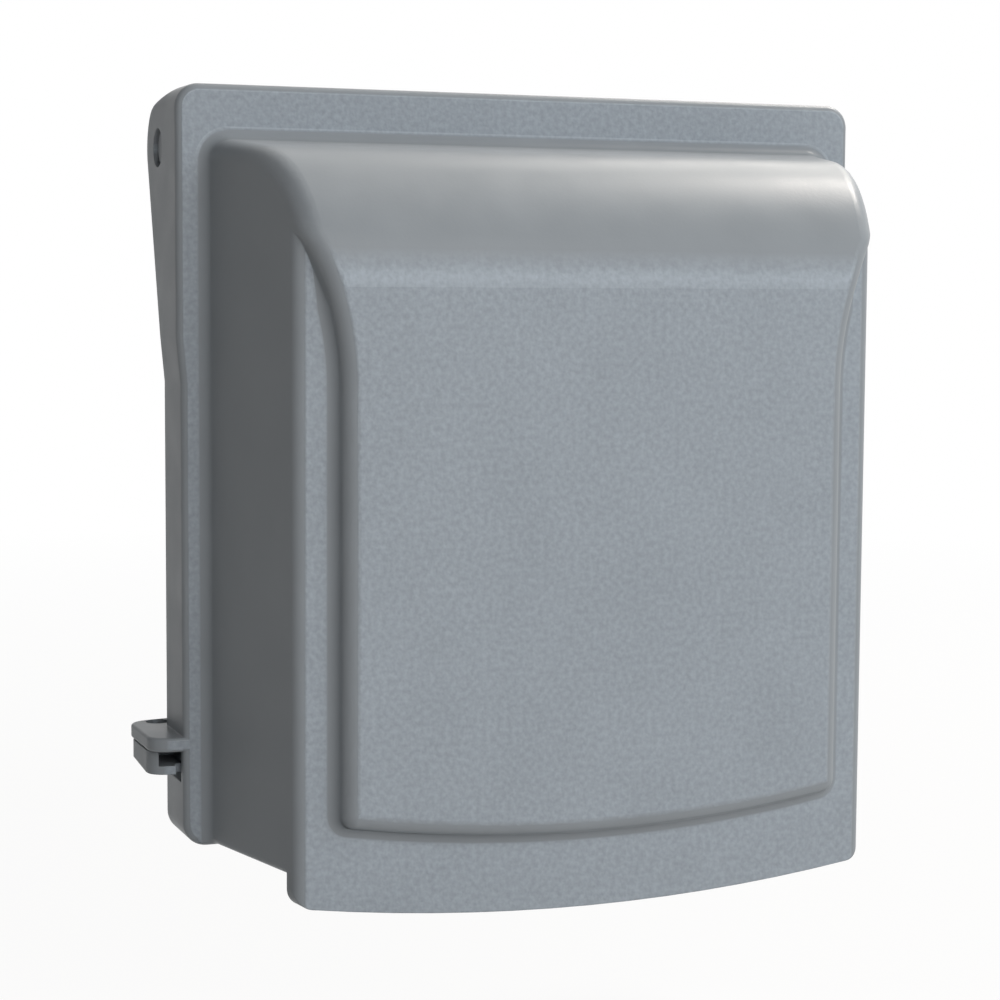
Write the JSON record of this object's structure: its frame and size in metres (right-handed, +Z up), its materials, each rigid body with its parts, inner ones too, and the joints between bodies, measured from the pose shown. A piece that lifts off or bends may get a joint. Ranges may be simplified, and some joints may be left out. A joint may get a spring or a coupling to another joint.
{
  "type": "weatherproof in-use outlet cover",
  "caption": "Nearly square grey moulded cover for a wall outlet box, with a deep lid hinged at the top, cord slots below and a padlock tab.",
  "frame": {"origin": "middle of the wall face, on the wall plane, midway between the two gangs and level with their middles", "axes": "+Y into the wall, +Z up, +X to the right as seen from in front"},
  "size_m": [0.1629, 0.0722, 0.1701],
  "materials": {
    "grey_moulding": "fine moulded grain, satin",
    "black_foam": "closed-cell foam",
    "screw_steel": "bright"
  },
  "bodies": {
    "base": {"base_frame": "grey_moulding", "wall_gasket": "black_foam", "rim_seal": "black_foam", "insert_rectangular": "grey_moulding", "insert_duplex": "grey_moulding", "insert_gasket_left": "black_foam", "insert_gasket_right": "black_foam", "insert_screws": "screw_steel"},
    "lid": {"lid": "grey_moulding"}
  },
  "joints": [
    {"name": "lid_hinge", "type": "hinge", "parent": "base", "child": "lid", "pos_m": [0, -0.0134, 0.0674], "axis": [-1, 0, 0], "range_deg": [0, 90]}
  ]
}
